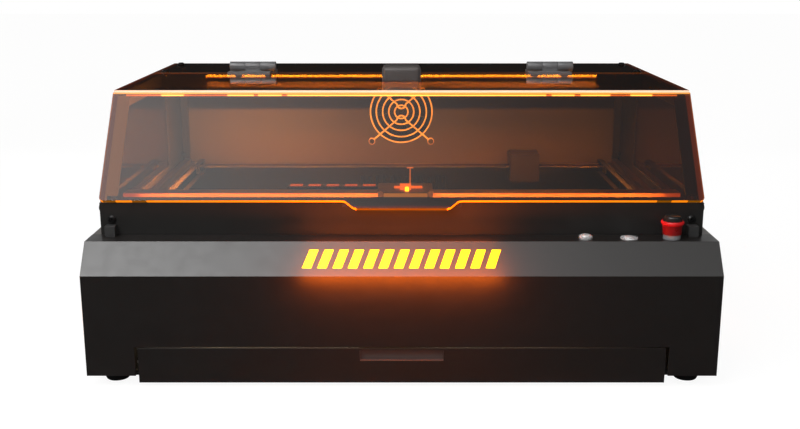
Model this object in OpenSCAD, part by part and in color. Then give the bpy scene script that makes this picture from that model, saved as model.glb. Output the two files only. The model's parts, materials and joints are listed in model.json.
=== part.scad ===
// Desktop laser cutter: a sheet-steel base, a hinged amber acrylic hood, a moving laser head, a waste drawer.
// Millimetres. The origin is the centre of the footprint at floor level: +X right, +Y to the rear, +Z up.

/* [Base] */
// Width of the base
body_w = 650; // [630:2:700]
// Depth of the base
body_d = 510; // [500:2:560]
// Height of the rubber feet
foot_h = 12.5; // [10:0.5:16]
// Height of the deck above the floor
deck_z = 149.8; // [146:0.2:154]
// Thickness of the steel sheet
sheet = 2; // [1.5:0.1:2.2]
// Height at which the front face breaks into the sloping fascia
break_z = 119.6; // [112:0.2:124]
// Depth that the sloping fascia takes up
fascia_run = 23.6; // [20:0.2:28]

/* [Hood] */
// Width of the hood
hood_w = 630; // [620:2:640]
// Thickness of the acrylic panels
acrylic = 5; // [4:0.5:6]
// Height of the underside of the top panels
roof_z = 286.6; // [280:0.1:300]
// Distance from the base's front to the lid's lower edge
lip_in = 49; // [47:0.5:50]
// Height of the lid's lower edge
lip_z = 187; // [186:0.2:188]
// Distance from the base's front to the front edge of the top panel
crest_in = 134; // [128:1:142]
// How far the finger tab hangs below the lid's lower edge
tab_drop = 9; // [6:0.5:12]

/* [Hinges] */
// Distance of each hinge from the middle
hinge_x = 188; // [150:1:220]
// Width of a hinge
hinge_w = 57.6; // [50:0.2:66]
// Radius of a hinge barrel
barrel_r = 6; // [5:0.1:6]

/* [Controls] */
// Distance of the emergency stop from the middle
estop_x = 279; // [270:1:285]
// Distance of the mode button from the middle
mode_x = 235; // [225:1:245]
// Distance of the start button from the middle
start_x = 190; // [180:1:200]

/* [Drawer] */
// Half the width of the drawer's front
drawer_half = 271.2; // [260:0.2:271.2]
// Depth of the drawer's tray
tray_d = 320; // [240:10:340]

/* [Laser head] */
// Width of the laser head
head_w = 48; // [40:1:52]
// Height of the top of the laser head
head_top = 191.7; // [186:0.1:191.7]

/* [Exhaust] */
// Side of the square exhaust fan
fan_side = 92; // [92:1:94]
// Outer diameter of the exhaust spigot
spigot_d = 75; // [70:1:76]

/* [Hidden] */
$fn = 48;

steel_dark = [0.14, 0.13, 0.125];
steel_grey = [0.45, 0.45, 0.46];
amber = [0.85, 0.33, 0.03, 0.55];

half_w = body_w / 2;
front_y = -body_d / 2;
rear_y = body_d / 2;
floor_z = foot_h;                      // underside of the steel base
hood_half = hood_w / 2;
window_x = hood_half - acrylic;        // inner face of the side windows
frame_x = window_x - sheet;            // inner face of the side frames' webs
eps = 0.3;                             // clearance between pieces that slide past each other

// The lid's front panel slopes back from the lip, and its inner face meets the top panel's lower front edge.
lip_y = front_y + lip_in;
crest_y = front_y + crest_in;
crest_reach = norm([crest_y - lip_y, roof_z - lip_z]);
slope = atan2(roof_z - lip_z, crest_y - lip_y) + asin(acrylic / crest_reach);
panel_len = sqrt(pow(crest_reach, 2) - pow(acrylic, 2));
function slope_y(inward, z) = lip_y + inward / sin(slope) + (z - lip_z) / tan(slope);
function slope_z(inward, y) = lip_z + (y - lip_y - inward / sin(slope)) * tan(slope);
roof_top = roof_z + acrylic;
lip_corner = 4;
tab_half = 48;

// The fascia slopes back from the front face's break to the deck.
fascia_len = norm([fascia_run, deck_z - break_z]);
fascia_a = atan2(deck_z - break_z, fascia_run);

rim_y = front_y + 51;                  // front face of the rim wall
rim_top = slope_z(acrylic + 1, rim_y); // where the rim's flange follows the lid
lip_gap = 0.8;                         // between the rim wall and the lid's lower edge
function lip_under(y) = lip_z - (lip_gap + (y - lip_y) * cos(slope)) / sin(slope);
flange_half = 296.5;
flange_start = (rim_top - lip_z + (acrylic + 1) * cos(slope)) / sin(slope) + 0.4;
rear_wall_y = rear_y - 61;             // front face of the rear wall
open_half = 285;                       // half width of the opening in the deck
open_front = rim_y + 4;
open_rear = rear_wall_y - 4;
panel_rear_y = rear_y - 5;             // front face of the recessed rear panel

// Hinge line, above the joint between the lid and the fixed roof panel.
joint_y = 66;
joint_gap = 2;
leaf_t = 3;
axis_y = 68;
axis_z = roof_top + leaf_t - 1 + barrel_r;
leaf_reach = 16;
lid_leaf_reach = 27;                   // the lid's leaf is longer, and narrower on one side
lid_leaf_narrow = 5;
leaf_clear = 4.5;
bolt_x = 19;
bolt_y = 9;
pin_r = 1.5;
rail_y = [70, 85];                     // cross rail under the joint
led_half = 251;

deck_controls_y = front_y + 35;
feet_x = half_w - 24.5;
feet_in = 28.5;

bay_half = drawer_half + 3.3;          // cut-out for the drawer
bay_top = 44;
drawer_bottom = 5.2;
drawer_top = 42.7;
pull_half = 43;
pull_z = [29.5, 40.5];                 // the finger pull's rear leans back as it rises
tray_wall = 1.2;
tray_x = drawer_half - 3.2;
tray_z = [16, 40];

wall_screws = [for (s = [-1, 1]) [s * 302.6, rim_y, 166.6]];
// The last of the window screws is over a rail, where it has no room for a nut.
window_screws = [[rim_y + 9, 177.1], [slope_y(acrylic + 7, 227.5), 227.5], [rear_wall_y - 10, 165],
    [rear_wall_y - 10, 268], [-20, 157.5]];
roof_screws = [for (x = [-301, 301], y = [76, 173]) [x, y]];

rail_x = [288, 308];
rail_top = 160;
belt_x = 277;
belt_w = 6;
belt_t = 1.5;
pulley_r = 7.5;
pulley_z = 151;
idler_y = -185;
drive_y = 170;

beam_y = front_y + 105;
beam_d = 20;
beam_z = [164.2, 181.7];
beam_half = 304;
x_axis_y = beam_y + 43;
x_motor_x = -245;
x_idler_x = 262;
x_pulley_r = 6;
x_belt_z = [165, 171];
bracket_z = 160.4;

head_x = [-20, -20 + head_w];
head_y = [front_y + 62, front_y + 98];
head_z = 140;
nozzle_z = 130;

fan_z = 223.5;
fan_pitch = 82.5;
fan_t = 25;
fan_bore = 86;
fan_y = rear_wall_y + sheet;
spigot_y = fan_y + fan_t;

bed_top = 97;
bed_half = 284;
bed_y = [-185, 165];
blade_pitch = 25;
blade_count = 13;

usb_x = [110, 140];
inlet_x = -255;
inlet_z = 62;

module plate(x, y, z) translate([x[0], y[0], z[0]]) cube([x[1] - x[0], y[1] - y[0], z[1] - z[0]]);
module pair() { children(); mirror([1, 0, 0]) children(); }
module yz_prism(x, points)
    translate([x[0], 0, 0]) rotate([90, 0, 90]) linear_extrude(x[1] - x[0]) polygon(points);
module rod_x(r, x) translate([x[0], 0, 0]) rotate([0, 90, 0]) cylinder(r = r, h = x[1] - x[0]);
module rod_y(r, y) translate([0, y[0], 0]) rotate([-90, 0, 0]) cylinder(r = r, h = y[1] - y[0]);
module on_slope() translate([0, lip_y, lip_z]) rotate([slope, 0, 0]) children();
module on_fascia() translate([0, front_y, break_z]) rotate([fascia_a, 0, 0]) children();
// Button-head screw along +Z, its head's seat at z = 0.
module button_screw(length, head_r, head_h, shank_r = 2) {
    difference() {
        union() {
            cylinder(r = head_r, h = head_h * 0.4);
            translate([0, 0, head_h * 0.4]) cylinder(r1 = head_r, r2 = head_r * 0.62, h = head_h * 0.6);
        }
        translate([0, 0, head_h * 0.4]) cylinder(r = 1.4, h = head_h, $fn = 6);
    }
    translate([0, 0, -length]) cylinder(r = shank_r, h = length);
}
module nut(r = 3.5, h = 3, bore = 2) difference() {
    cylinder(r = r, h = h, $fn = 6);
    translate([0, 0, -1]) cylinder(r = bore, h = h + 2);
}

// Base ----------------------------------------------------------------------------------------------------

module floor_plate() color(steel_dark) difference() {
    plate([-half_w + sheet, half_w - sheet], [front_y + sheet, panel_rear_y], [floor_z, floor_z + sheet]);
    plate([-bay_half, bay_half], [front_y, front_y + sheet + 1], [floor_z - 1, floor_z + sheet + 1]);
    for (x = [-1, 1], y = [front_y + feet_in, rear_y - feet_in])
        translate([x * feet_x, y, floor_z - 1]) cylinder(r = 2.3, h = sheet + 2);
}

// A row of leaning bars stands where the lit sign is.
bar_w = 9;
bar_h = 20;
bar_lean = 7;
bar_pitch = 15.5;
bar_count = 13;
module sign_bars(grow) for (i = [0 : bar_count - 1])
    translate([(i - (bar_count - 1) / 2) * bar_pitch, fascia_len / 2])
        polygon([[-bar_w / 2 - bar_lean / 2 - grow, -bar_h / 2 - grow],
            [bar_w / 2 - bar_lean / 2 + grow, -bar_h / 2 - grow],
            [bar_w / 2 + bar_lean / 2 + grow, bar_h / 2 + grow],
            [-bar_w / 2 + bar_lean / 2 - grow, bar_h / 2 + grow]]);

module front_fascia() color(steel_dark) difference() {
    inner = sheet * tan((90 - fascia_a) / 2);
    yz_prism([-half_w, half_w], [[front_y, floor_z], [front_y, break_z], [front_y + fascia_run, deck_z],
        [rim_y, deck_z], [rim_y, deck_z - sheet],
        [front_y + fascia_run + sheet * tan(fascia_a / 2), deck_z - sheet],
        [front_y + sheet, break_z - inner], [front_y + sheet, floor_z]]);
    plate([-bay_half, bay_half], [front_y - 1, front_y + 5], [floor_z - 1, bay_top]);
    on_fascia() translate([0, 0, -sheet - 1]) linear_extrude(sheet + 2) sign_bars(0.2);
    for (c = [[estop_x, 8.2], [mode_x, 6.7], [start_x, 6.7]])
        translate([c[0], deck_controls_y, deck_z - 5]) cylinder(r = c[1], h = 10);
}

module deck_plate() color(steel_dark) difference() {
    plate([-half_w, half_w], [rim_y, rear_y], [deck_z - sheet, deck_z]);
    plate([-open_half, open_half], [open_front, open_rear], [deck_z - 5, deck_z + 5]);
}

module side_panel() color(steel_dark) difference() {
    yz_prism([half_w - sheet, half_w], [[front_y + sheet, floor_z], [front_y + sheet, break_z - 1.2],
        [front_y + fascia_run + 1.2, deck_z - sheet], [rear_y, deck_z - sheet], [rear_y, floor_z]]);
    for (i = [0 : 9]) plate([half_w - 5, half_w + 5], [100 + i * 12, 105 + i * 12], [60, 110]);
}
module left_side_panel() mirror([1, 0, 0]) side_panel();
module right_side_panel() side_panel();

module rear_panel() color(steel_dark) difference() {
    plate([-half_w + sheet, half_w - sheet], [panel_rear_y, panel_rear_y + sheet], [floor_z, deck_z - sheet]);
    plate([inlet_x - 22.2, inlet_x + 22.2], [panel_rear_y - 5, panel_rear_y + 5],
        [inlet_z - 12.2, inlet_z + 12.2]);
    for (x = usb_x) plate([x - 7, x + 7], [panel_rear_y - 5, panel_rear_y + 5], [24.8, 42]);
    for (i = [0 : 11]) plate([-60 + i * 11, -55 + i * 11], [panel_rear_y - 5, panel_rear_y + 5], [70, 120]);
}

module feet() color([0.05, 0.05, 0.05]) for (x = [-1, 1], y = [front_y + feet_in, rear_y - feet_in])
    translate([x * feet_x, y, 0]) difference() {
        union() {
            cylinder(r1 = 11.5, r2 = 12.5, h = 2);
            translate([0, 0, 2]) cylinder(r = 12.5, h = foot_h - 2);
        }
        translate([0, 0, -1]) cylinder(r = 2.3, h = foot_h + 2);
        translate([0, 0, -1]) cylinder(r = 5, h = 6);
    }

module case_screws() color(steel_dark) {
    for (x = [-1, 1], y = [front_y + feet_in, rear_y - feet_in])
        translate([x * feet_x, y, 5]) rotate([180, 0, 0]) button_screw(foot_h - 1, 4.25, 2.6);
    for (p = wall_screws) translate(p) rotate([90, 0, 0]) button_screw(5, 4.5, 2.6);
    for (s = [-1, 1], i = [0 : len(window_screws) - 1])
        translate([s * hood_half, window_screws[i][0], window_screws[i][1]]) rotate([0, s * 90, 0]) {
            with_nut = i < len(window_screws) - 1;
            button_screw(acrylic + sheet + (with_nut ? 4.6 : 1), 4.9, 2.4);
            if (with_nut) translate([0, 0, -acrylic - sheet - 3]) nut();
        }
    for (p = roof_screws) translate([p[0], p[1], roof_top]) button_screw(acrylic + sheet + 3, 4.9, 3);
    hinge_bolts(1);
}

module drawer_runners() color(steel_grey) pair() difference() {
    plate([bay_half - 3, bay_half + 1.2], [front_y + 6, front_y + 6 + tray_d], [floor_z + sheet, 30]);
    plate([bay_half - 1, bay_half + 12], [front_y, front_y + 12 + tray_d], [floor_z + sheet * 2, 40]);
}

module corner_brackets() color(steel_grey) pair() difference() {
    plate([298, 308.5], [rim_y - 10, rim_y], [deck_z, deck_z + 11.3]);
    plate([300, 306.5], [rim_y - 8.4, rim_y + 1], [deck_z - 1, deck_z + 9.7]);
}

module light_sign() color([1, 0.75, 0.1]) on_fascia() {
    translate([0, 0, -sheet - 0.2]) linear_extrude(sheet + 0.2) sign_bars(0);
    translate([-bar_pitch * bar_count / 2, fascia_len / 2 - bar_h / 2 - 2, -sheet - 4.1])
        cube([bar_pitch * bar_count, bar_h + 4, 4]);
}

// Controls ------------------------------------------------------------------------------------------------

module at_control(x) translate([x, deck_controls_y, deck_z]) children();

module estop_collar() color(steel_grey) at_control(estop_x) difference() {
    union() {
        cylinder(r = 8.85, h = 8);
        translate([0, 0, -24]) cylinder(r = 8, h = 24);
        translate([0, 0, -6]) cylinder(r = 10, h = 4);
    }
    translate([0, 0, -30]) cylinder(r = 4.3, h = 60);
}
module estop_plunger() color(steel_grey) at_control(estop_x) {
    translate([0, 0, -30]) cylinder(r = 4, h = 45);
    translate([0, 0, -33]) cylinder(r = 7, h = 5.5);
}
module estop_head() color([0.8, 0.1, 0.08]) at_control(estop_x)
    rotate_extrude() polygon([[9.1, 5.2], [10, 5.2], [10.3, 14], [10.7, 17.4], [11.6, 19.6], [11.2, 20.9],
        [12.65, 21.6], [12.65, 23.2], [11.9, 24.2], [9.5, 24.8], [0, 25], [0, 15.4], [4.3, 15.4], [4.3, 11.2],
        [9.1, 11.2]]);
module bezel(flange_r, bore_r, rise) difference() {
    union() {
        cylinder(r = flange_r, h = rise);
        translate([0, 0, -18]) cylinder(r = 6.5, h = 18);
    }
    translate([0, 0, -14]) cylinder(r = bore_r, h = 30);
}
module button_bezels() color("silver") {
    at_control(start_x) bezel(6.9, 5.6, 3.2);
    at_control(mode_x) bezel(9, 5.6, 1.4);
}
module start_button() color("silver") at_control(start_x) {
    translate([0, 0, -10]) cylinder(r = 5.3, h = 13.6);
    translate([0, 0, 3.6]) cylinder(r1 = 5.3, r2 = 4.4, h = 0.9);
    translate([0, 0, 4.5]) cylinder(r1 = 4.4, r2 = 2.6, h = 0.6);
}
module mode_button() color("silver") at_control(mode_x) {
    translate([0, 0, -10]) cylinder(r = 5.3, h = 12.2);
    translate([0, 0, 2.2]) cylinder(r1 = 5.3, r2 = 4.3, h = 0.8);
}

// Hood ----------------------------------------------------------------------------------------------------

// The rim wall rises to just under the lid's lower edge, and steps down where the finger tab hangs over it. A
// flange behind it follows the lid's inner face.
module rim_front() color(steel_dark) difference() {
    union() {
        difference() {
            yz_prism([-hood_half, hood_half], [[rim_y, deck_z], [rim_y, lip_under(rim_y)],
                [rim_y + sheet, lip_under(rim_y + sheet)], [rim_y + sheet, deck_z]]);
            plate([-tab_half - 14, tab_half + 14], [rim_y - 1, rim_y + sheet + 1], [rim_top, lip_z]);
        }
        on_slope() translate([-flange_half, flange_start, -acrylic - 1 - sheet])
            cube([2 * flange_half, 10, sheet]);
    }
    for (p = wall_screws) translate([p[0], p[1] - 1, p[2]]) rod_y(2.2, [0, 5]);
}

// The hood's side seen square on, moved inward from the lid's outer face.
lid_clear = acrylic + 0.6;
function hood_outline(inward, bottom, top, rear) =
    let (y = rim_y + sheet + inward - lid_clear)
    [[y, bottom], [y, slope_z(inward, y)], [slope_y(inward, top), top], [rear, top], [rear, bottom]];

post_d = 88;                           // depth of the side frames' rear posts
module side_frames() color(steel_grey) pair() {
    difference() {
        yz_prism([frame_x, window_x], hood_outline(lid_clear, deck_z, roof_z - 2, rear_wall_y));
        yz_prism([frame_x - 1, window_x + 1],
            hood_outline(acrylic + 18, deck_z + 14, roof_z - 18, rear_wall_y - post_d));
        for (p = window_screws) translate([0, p[0], p[1]]) rod_x(2.2, [frame_x - 1, window_x + 1]);
    }
    yz_prism([frame_x - 11, frame_x],
        [for (p = [[0, 189], [0, roof_z - 2], [1.8, roof_z - 2], [1.8, 189]])
            [slope_y(lid_clear + p[0], p[1]), p[1]]]);
    plate([frame_x - 10, frame_x], [rear_wall_y - sheet, rear_wall_y], [deck_z, roof_z - sheet - 0.4]);
}

module side_windows() color(amber) pair() difference() {
    yz_prism([window_x, hood_half], concat(
        [for (i = [0 : 2]) hood_outline(lid_clear, deck_z, roof_z - 0.5, 0)[i]],
        [[joint_y + 2, roof_z - 0.5], [joint_y + 2, roof_z], [rear_wall_y + sheet, roof_z],
            [rear_wall_y + sheet, deck_z]]));
    for (p = window_screws) translate([0, p[0], p[1]]) rod_x(2.2, [window_x - 1, hood_half + 1]);
}

module rear_wall() color(steel_dark) difference() {
    union() {
        plate([-window_x, window_x], [rear_wall_y, rear_wall_y + sheet], [deck_z, roof_z]);
        plate([-frame_x, frame_x], [rear_wall_y - 28, rear_wall_y], [roof_z - sheet, roof_z]);
    }
    translate([0, rear_wall_y - 1, fan_z]) rod_y(fan_bore / 2, [0, sheet + 2]);
    fan_holes([rear_wall_y - 1, rear_wall_y + sheet + 1]);
    for (p = roof_screws) translate([p[0], p[1], roof_z - 5]) cylinder(r = 2.2, h = 10);
}

module rear_top_panel() color(amber) difference() {
    plate([-hood_half, hood_half], [joint_y + joint_gap / 2, rear_wall_y + sheet], [roof_z, roof_top]);
    for (p = roof_screws) translate([p[0], p[1], roof_z - 5]) cylinder(r = 2.2, h = 20);
    bolt_holes(1);
}

module lid_front_panel() color(amber)
    on_slope() translate([0, 0, -acrylic]) linear_extrude(acrylic) {
        translate([-hood_half, lip_corner]) square([hood_w, panel_len - lip_corner]);
        translate([-hood_half + lip_corner, 0]) square([hood_w - 2 * lip_corner, lip_corner + 1]);
        for (s = [-1, 1]) translate([s * (hood_half - lip_corner), lip_corner]) circle(r = lip_corner);
        polygon([[-tab_half - 12, 0.5], [-tab_half - 12, 0], [-tab_half, -tab_drop], [tab_half, -tab_drop],
            [tab_half + 12, 0], [tab_half + 12, 0.5]]);
    }

module lid_top_panel() color(amber) difference() {
    plate([-hood_half, hood_half], [crest_y, joint_y - joint_gap / 2], [roof_z, roof_top]);
    bolt_holes(-1);
}

module hinge_rail() color(steel_grey) difference() {
    union() {
        plate([-frame_x, frame_x], rail_y, [roof_z - sheet, roof_z]);
        plate([-frame_x, frame_x], [rail_y[1] - sheet, rail_y[1]], [roof_z - 20, roof_z]);
    }
    for (p = roof_screws) translate([p[0], p[1], roof_z - 5]) cylinder(r = 2.2, h = 10);
    bolt_holes(1);
}
module led_strip() color([1, 0.8, 0.3])
    plate([-led_half, led_half], [rail_y[1] - sheet - 1.5, rail_y[1] - sheet], [roof_z - 10.5, roof_z - 3]);

// side is 1 for the fixed leaf and -1 for the lid's.
module bolt_spots(side) for (h = [-1, 1], b = [-1, 1])
    translate([h * hinge_x + b * bolt_x, axis_y + side * bolt_y, 0]) children();
module bolt_holes(side) bolt_spots(side) translate([0, 0, roof_z - 10]) cylinder(r = 2.2, h = 30);
module hinge_bolts(side) bolt_spots(side) {
    under = side > 0 ? roof_z - sheet : roof_z;
    translate([0, 0, under - 5]) cylinder(r = 2, h = roof_top + leaf_t - under + 4);
    translate([0, 0, roof_top + leaf_t - 2]) cylinder(r1 = 2, r2 = 4, h = 2);
    translate([0, 0, under - 3]) nut();
}
knuckle = (hinge_w - 0.8) / 3;
module hinge_leaf(side) for (h = [-1, 1]) translate([h * hinge_x, 0, 0]) difference() {
    union() {
        if (side > 0) plate([-hinge_w / 2, hinge_w / 2], [axis_y + leaf_clear, axis_y + leaf_reach],
            [roof_top, roof_top + leaf_t]);
        else plate([-hinge_w / 2, hinge_w / 2 - lid_leaf_narrow], [axis_y - lid_leaf_reach, axis_y - leaf_clear],
            [roof_top, roof_top + leaf_t]);
        for (k = side > 0 ? [-1, 1] : [0]) {
            x = [k * (knuckle + 0.4) - knuckle / 2, k * (knuckle + 0.4) + knuckle / 2];
            translate([0, axis_y, axis_z]) rod_x(barrel_r, x);
            plate(x, side > 0 ? [axis_y, axis_y + leaf_clear + 1] : [axis_y - leaf_clear - 1, axis_y],
                [roof_top, axis_z - 1]);
        }
    }
    translate([0, axis_y, axis_z]) rod_x(pin_r + 0.05, [-hinge_w, hinge_w]);
    for (b = [-1, 1]) translate([b * bolt_x, axis_y + side * bolt_y, roof_top]) {
        translate([0, 0, -1]) cylinder(r = 2.2, h = 10);
        translate([0, 0, leaf_t - 2.1]) cylinder(r1 = 2.2, r2 = 4.3, h = 2.11);
    }
}
module hinge_leaves_fixed() color(steel_grey) hinge_leaf(1);
module lid_hinge_leaves() color(steel_grey) hinge_leaf(-1);
module lid_hinge_screws() color(steel_dark) hinge_bolts(-1);
module hinge_pins() color("silver") for (h = [-1, 1])
    translate([h * hinge_x, axis_y, axis_z]) rod_x(pin_r, [-hinge_w / 2, hinge_w / 2]);

pod_y = [-25, 15];
module camera_pod() color(steel_grey) hull() for (x = [-1, 1], y = pod_y) {
    translate([x * 16, y - sign(y + 5) * 7, roof_top]) cylinder(r = 7, h = 8, $fn = 32);
    translate([x * 16, y - sign(y + 5) * 7, roof_top + 10]) sphere(r = 6, $fn = 24);
}
module camera_lens() color("black") translate([0, -5, roof_z - 3]) {
    difference() {
        cylinder(r = 6, h = 3);
        translate([0, 0, -0.1]) cylinder(r = 4, h = 1);
    }
    translate([0, 0, 0.2]) cylinder(r = 3.4, h = 1);
}

// Exhaust -------------------------------------------------------------------------------------------------

module fan_holes(y) for (x = [-1, 1], z = [-1, 1])
    translate([x * fan_pitch / 2, 0, fan_z + z * fan_pitch / 2]) rod_y(2.3, y);

module fan_frame() color([0.06, 0.06, 0.06]) difference() {
    union() {
        difference() {
            plate([-fan_side / 2, fan_side / 2], [fan_y, fan_y + fan_t],
                [fan_z - fan_side / 2, fan_z + fan_side / 2]);
            translate([0, 0, fan_z]) rod_y(fan_bore / 2, [fan_y - 1, fan_y + fan_t + 1]);
        }
        translate([0, 0, fan_z]) rod_y(18, [fan_y + fan_t - 3, fan_y + fan_t - 0.2]);
        for (a = [40, 130]) translate([0, fan_y + fan_t - 2.8, fan_z]) rotate([0, a, 0])
            plate([-fan_bore / 2 - 1.5, fan_bore / 2 + 1.5], [0, 2.4], [-2, 2]);
        translate([0, 0, fan_z]) rod_y(1.5, [fan_y + 6, fan_y + fan_t - 2]);
    }
    fan_holes([fan_y - 1, fan_y + fan_t + 1]);
}
module fan_rotor() color([0.08, 0.08, 0.08]) difference() {
    union() {
        translate([0, 0, fan_z]) rod_y(18, [fan_y + 2, fan_y + fan_t - 4]);
        intersection() {
            translate([0, 0, fan_z]) rod_y(fan_bore / 2 - 1.5, [fan_y + 2.5, fan_y + fan_t - 4]);
            for (a = [0 : 360 / 7 : 359]) translate([0, fan_y + 11.5, fan_z]) rotate([0, a, 0])
                rotate([40, 0, 0]) plate([15, fan_bore / 2 + 1], [-12, 12], [-0.9, 0.9]);
        }
    }
    translate([0, 0, fan_z]) rod_y(1.55, [fan_y + 5, fan_y + fan_t]);
}
guard_y = rear_wall_y - 3;
module wire(a, b) {
    d = [b[0] - a[0], 0, b[1] - a[1]];
    translate([a[0], guard_y - 1.3, a[1]]) rotate([0, atan2(d[0], d[2]), 0]) cylinder(r = 1.2, h = norm(d));
}
module fan_guard() color(steel_grey) translate([0, 0, fan_z]) difference() {
    union() {
        for (r = [43, 35, 26, 17.5, 9.3]) translate([0, guard_y, 0]) rotate([90, 0, 0])
            rotate_extrude() translate([r, 0]) circle(r = 1.1);
        for (s = [-1, 1]) {
            for (x = [-1, 1]) {
                wire([x * fan_pitch / 2, s * fan_pitch / 2], [x * 6, s * 11]);
                translate([x * fan_pitch / 2, 0, s * fan_pitch / 2]) rod_y(4.4, [guard_y - 2.5, rear_wall_y]);
            }
            translate([0, guard_y - 1.3, s * 11]) rotate([90, 0, 0]) rotate([0, 0, s > 0 ? 180 : 0])
                rotate_extrude(angle = 180) translate([6, 0]) circle(r = 1.2);
        }
    }
    translate([0, 0, -fan_z]) fan_holes([guard_y - 4, rear_wall_y + 1]);
}
module fan_screws() color("silver") for (x = [-1, 1], z = [-1, 1])
    translate([x * fan_pitch / 2, guard_y - 2.5, fan_z + z * fan_pitch / 2]) rotate([90, 0, 0]) {
        button_screw(spigot_y + sheet + 4 - guard_y + 2.5, 3.8, 2.6);
        translate([0, 0, -(spigot_y + sheet - guard_y + 2.5) - 3]) nut();
    }
module exhaust_spigot() color([0.1, 0.1, 0.1]) difference() {
    union() {
        plate([-fan_side / 2, fan_side / 2], [spigot_y, spigot_y + sheet],
            [fan_z - fan_side / 2, fan_z + fan_side / 2]);
        translate([0, 0, fan_z]) rod_y(spigot_d / 2, [spigot_y, spigot_y + 31]);
    }
    translate([0, 0, fan_z]) rod_y(spigot_d / 2 - 2, [spigot_y - 1, spigot_y + 40]);
    fan_holes([spigot_y - 1, spigot_y + sheet + 1]);
}

// Inside --------------------------------------------------------------------------------------------------

module bed_frame() color(steel_grey) {
    difference() {
        plate([-bed_half, bed_half], bed_y, [bed_top - 13, bed_top]);
        plate([-bed_half + 22, bed_half - 22], [bed_y[0] + 12, bed_y[1] - 12], [bed_top - 20, bed_top + 1]);
        plate([-bed_half + 16, bed_half - 16], [bed_y[0] + 12, bed_y[1] - 12], [bed_top - 11, bed_top + 1]);
    }
    for (x = [-1, 1], y = [bed_y[0] + 5, bed_y[1] - 15]) translate([x * (bed_half - 4), y + 5, 0])
        translate([-4, -5, floor_z + sheet]) cube([8, 10, bed_top - 13 - floor_z - sheet]);
}
module bed_blades() color("silver") for (i = [0 : blade_count - 1])
    translate([0, (bed_y[0] + bed_y[1]) / 2 + (i - (blade_count - 1) / 2) * blade_pitch - 0.8, 0])
        plate([-bed_half + 16.2, bed_half - 16.2], [0, 1.6], [bed_top - 11, bed_top]);

module y_rails() color("silver") pair() difference() {
    union() {
        plate(rail_x, [-195, 175], [deck_z, 155]);
        plate([294, 302], [-195, 175], [154.5, rail_top]);
        for (y = [idler_y, drive_y]) plate([281.5, rail_x[0] + 1], [y - 8, y + 8], [deck_z - 9, 155]);
        translate([0, idler_y, pulley_z]) rod_x(2, [belt_x - belt_w / 2 - 1, 284]);
    }
    translate([0, drive_y, pulley_z]) rod_x(3.05, [280, rail_x[0]]);
    plate([open_half - 0.2, 300], [-300, 300], [deck_z - 20, deck_z]);
}
module belt_loop(half_gap, r, t, w) translate([0, 0, -w / 2]) linear_extrude(w) difference() {
    union() {
        square([2 * half_gap, 2 * (r + t)], center = true);
        for (s = [-1, 1]) translate([s * half_gap, 0]) circle(r = r + t);
    }
    square([2 * half_gap, 2 * r], center = true);
    for (s = [-1, 1]) translate([s * half_gap, 0]) circle(r = r);
}
module y_belts() color([0.06, 0.06, 0.06]) pair()
    translate([belt_x, (idler_y + drive_y) / 2, pulley_z]) rotate([90, 0, 90])
        belt_loop((drive_y - idler_y) / 2, pulley_r + 0.2, belt_t - 0.2, belt_w);
module belt_idlers() color("silver") pair() translate([0, idler_y, pulley_z]) difference() {
    rod_x(pulley_r, [belt_x - belt_w / 2, belt_x + belt_w / 2]);
    rod_x(2.05, [belt_x - 10, belt_x + 10]);
}
module y_shaft() color("silver") translate([0, drive_y, pulley_z]) {
    rod_x(3, [-open_half + 0.5, open_half - 0.5]);
    pair() rod_x(pulley_r, [belt_x - belt_w / 2, belt_x + belt_w / 2]);
}
module y_motor() color([0.1, 0.1, 0.1]) difference() {
    union() {
        plate([150, 190], [drive_y - 19, drive_y + 19], [pulley_z - 19, pulley_z + 19]);
        plate([152, 188], [drive_y + 19, rear_wall_y], [deck_z + 2, pulley_z + 17]);
    }
    translate([0, drive_y, pulley_z]) rod_x(3.05, [140, 200]);
}

module gantry_trucks() color(steel_grey) {
    pair() difference() {
        union() {
            plate([289.5, 306.5], [beam_y - 10, beam_y + beam_d + 10], [155.5, beam_z[0]]);
            plate([273, 290], [beam_y, beam_y + beam_d], [bracket_z, beam_z[0]]);
        }
        plate([293.6, 302.4], [-300, 300], [150, rail_top + 0.4]);
    }
    difference() {
        plate([x_motor_x - 30, x_motor_x + 22], [beam_y + beam_d, x_axis_y + 21], [bracket_z, bracket_z + 2]);
        translate([x_motor_x, x_axis_y, 150]) cylinder(r = 6.5, h = 20);
    }
    plate([x_idler_x - 12, x_idler_x + 12], [beam_y + beam_d, x_axis_y + 10], [bracket_z, bracket_z + 2]);
    translate([x_idler_x, x_axis_y, bracket_z]) cylinder(r = 2, h = 12);
}
groove = 1.8;                          // depth of the slots along the beam
module x_beam() color("silver") difference() {
    plate([-beam_half, beam_half], [beam_y, beam_y + beam_d], beam_z);
    for (y = [beam_y, beam_y + beam_d])
        plate([-half_w, half_w], [y - groove, y + groove], [beam_z[0] + 6, beam_z[1] - 6]);
}
module x_motor() color([0.1, 0.1, 0.1]) translate([x_motor_x, x_axis_y, 0]) difference() {
    union() {
        plate([-21, 21], [-21, 21], [bracket_z - 22, bracket_z]);
        translate([0, 0, bracket_z - 1]) cylinder(r = 6, h = 3);
    }
    translate([0, 0, 150]) cylinder(r = 2.55, h = 20);
}
module x_drive_pulley() color("silver") translate([x_motor_x, x_axis_y, 0]) {
    translate([0, 0, 150.5]) cylinder(r = 2.5, h = 21.5);
    translate([0, 0, x_belt_z[0] - 1]) cylinder(r = x_pulley_r, h = 8);
}
module x_idler_pulley() color("silver") translate([x_idler_x, x_axis_y, 0]) difference() {
    translate([0, 0, x_belt_z[0] - 1]) cylinder(r = x_pulley_r, h = 8);
    translate([0, 0, 150]) cylinder(r = 2.05, h = 30);
}
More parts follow.
